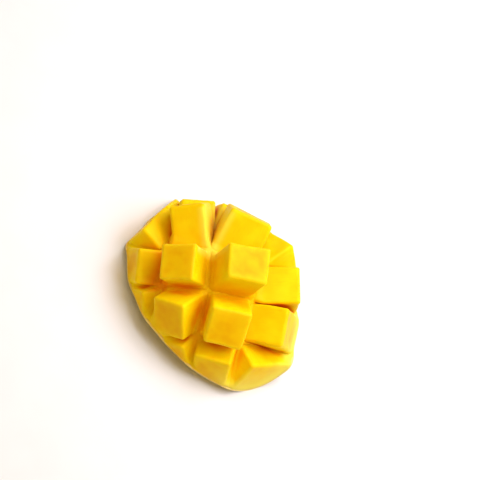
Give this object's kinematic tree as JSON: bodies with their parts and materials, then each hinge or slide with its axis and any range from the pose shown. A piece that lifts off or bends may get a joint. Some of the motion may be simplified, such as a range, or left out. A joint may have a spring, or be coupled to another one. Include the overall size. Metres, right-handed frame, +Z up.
{
  "type": "hedgehog-cut mango half",
  "caption": "Yellow mango half scored into cubes and pushed inside out, so that the cubes of flesh splay like petals over a domed skin.",
  "frame": {"origin": "on the surface that the half rests on, under the middle of its bounding box", "axes": "+X along the half towards its narrower end, +Y across it, +Z up, away from the surface, with the cubes on top"},
  "size_m": [0.1034, 0.086, 0.0529],
  "materials": {
    "flesh": "moist satin",
    "skin": "waxy satin"
  },
  "bodies": {
    "root": {"mango_half": "flesh"}
  },
  "joints": []
}
